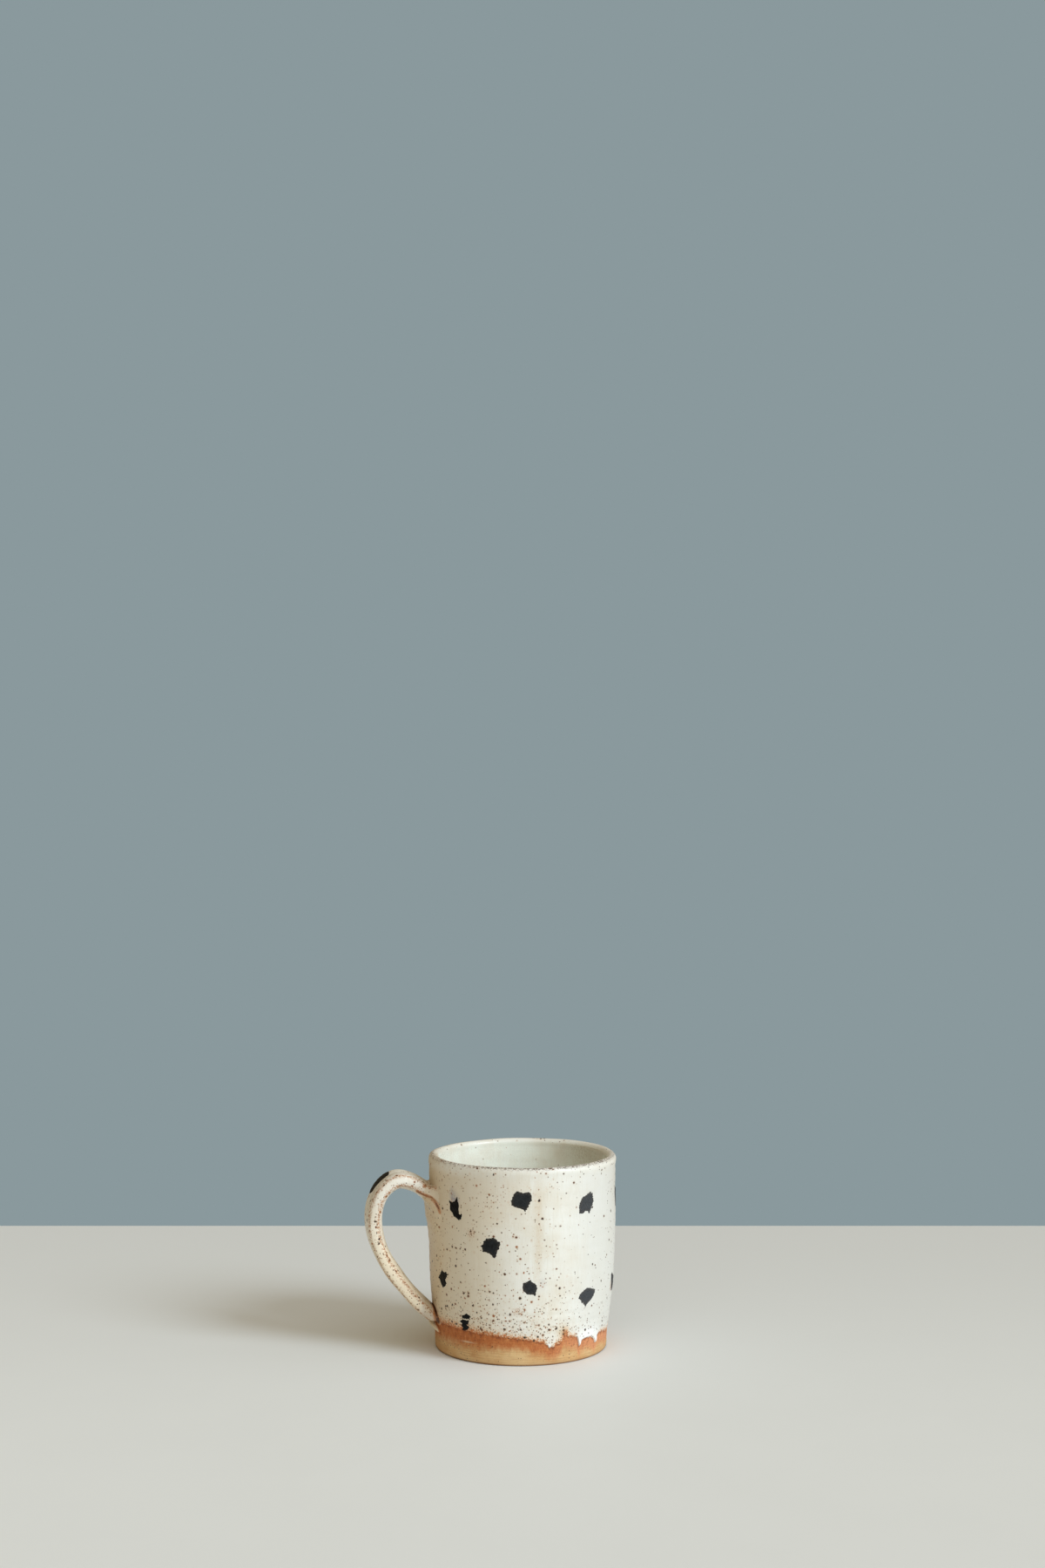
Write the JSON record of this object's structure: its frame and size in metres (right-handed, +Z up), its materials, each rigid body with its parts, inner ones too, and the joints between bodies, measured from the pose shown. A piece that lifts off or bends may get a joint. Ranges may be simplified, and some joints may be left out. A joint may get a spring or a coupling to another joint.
{
  "type": "stoneware mug",
  "caption": "Hand-thrown stoneware mug with a pulled strap handle, speckled off-white glaze over a bare clay foot band, and brushed black dots.",
  "frame": {"origin": "centre of the flat foot, on the surface the mug stands on", "axes": "+Z up along the axis the body was thrown on; the handle points along -X; +X is away from the handle"},
  "size_m": [0.1182, 0.0879, 0.09],
  "materials": {
    "clay": "bare fired stoneware clay, toasty tan with rust-brown flashing and iron specks, matte",
    "wall_glaze": "satin-matte off-white glaze with brown iron specks, faint vertical streaks",
    "liner_glaze": "glossier off-white liner glaze",
    "black_brushwork": "satin black iron brushwork fired into the glaze"
  },
  "bodies": {
    "root": {"clay_body": "clay", "handle": "clay", "upper_join": "wall_glaze", "lower_join": "clay", "wall_glaze": "wall_glaze", "liner_glaze": "liner_glaze", "handle_glaze": "wall_glaze", "dot_upper_1": "black_brushwork", "dot_upper_2": "black_brushwork", "dot_upper_3": "black_brushwork", "dot_upper_4": "black_brushwork", "dot_upper_5": "black_brushwork", "dot_upper_6": "black_brushwork", "dot_upper_7": "black_brushwork", "dot_middle_1": "black_brushwork", "dot_middle_2": "black_brushwork", "dot_middle_3": "black_brushwork", "dot_lower_1": "black_brushwork", "dot_lower_2": "black_brushwork", "dot_lower_3": "black_brushwork", "dot_lower_4": "black_brushwork", "dot_lower_5": "black_brushwork", "dot_lower_6": "black_brushwork", "dot_foot_1": "black_brushwork", "dot_foot_2": "black_brushwork", "dot_handle": "black_brushwork"}
  },
  "joints": []
}
